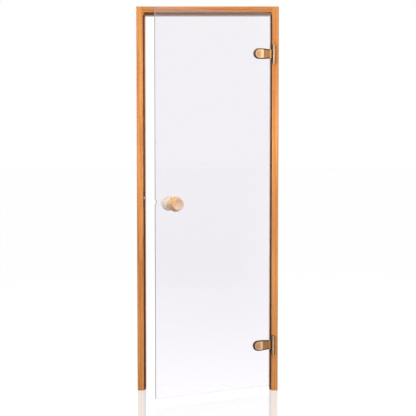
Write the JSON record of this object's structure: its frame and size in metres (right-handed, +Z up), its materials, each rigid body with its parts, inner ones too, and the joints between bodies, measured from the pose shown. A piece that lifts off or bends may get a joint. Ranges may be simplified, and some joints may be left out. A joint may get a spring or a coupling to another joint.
{
  "type": "sauna door",
  "caption": "Single-leaf clear glass sauna door, ajar in its timber frame, with bronze clamp hinges, turned wooden knobs and a ball catch.",
  "frame": {"origin": "on the outer side face of the hinge jamb, at floor level and half the frame's depth", "axes": "+X out of that face, away from the doorway; +Y into the cabin behind the door; +Z up"},
  "size_m": [0.695, 0.4095, 1.89],
  "materials": {
    "frame_wood": "planed alder or pine, lightly oiled",
    "knob_wood": "turned and oiled",
    "glass": "clear toughened, ground edges",
    "bronze": "antique bronze, brushed and lacquered",
    "catch_bronze": "pale bronze, satin",
    "steel": "satin stainless",
    "seal_rubber": "matt dark brown silicone",
    "gasket_plastic": "translucent white, matt"
  },
  "bodies": {
    "frame": {"hinge_jamb": "frame_wood", "latch_jamb": "frame_wood", "head": "frame_wood", "hinge_jamb_seal": "seal_rubber", "latch_jamb_seal": "seal_rubber", "head_seal": "seal_rubber", "catch_plate": "catch_bronze", "catch_ball": "steel", "lower_hinge_frame_leaf": "bronze", "lower_hinge_pin": "bronze", "lower_hinge_washers": "gasket_plastic", "upper_hinge_frame_leaf": "bronze", "upper_hinge_pin": "bronze", "upper_hinge_washers": "gasket_plastic"},
    "leaf": {"glass_leaf": "glass", "outer_knob": "knob_wood", "inner_knob": "knob_wood", "knob_washers": "gasket_plastic", "knob_bolt": "steel", "lower_clamp_arm": "bronze", "lower_clamp_cap": "bronze", "lower_clamp_gasket": "gasket_plastic", "lower_back_gasket": "gasket_plastic", "lower_back_plate": "bronze", "lower_clamp_bolts": "steel", "upper_clamp_arm": "bronze", "upper_clamp_cap": "bronze", "upper_clamp_gasket": "gasket_plastic", "upper_back_gasket": "gasket_plastic", "upper_back_plate": "bronze", "upper_clamp_bolts": "steel"}
  },
  "joints": [
    {"name": "leaf_hinge", "type": "hinge", "parent": "frame", "child": "leaf", "pos_m": [-0.0235, -0.0555, 0], "axis": [0, 0, 1], "range_deg": [-27.5, 132.5]}
  ]
}
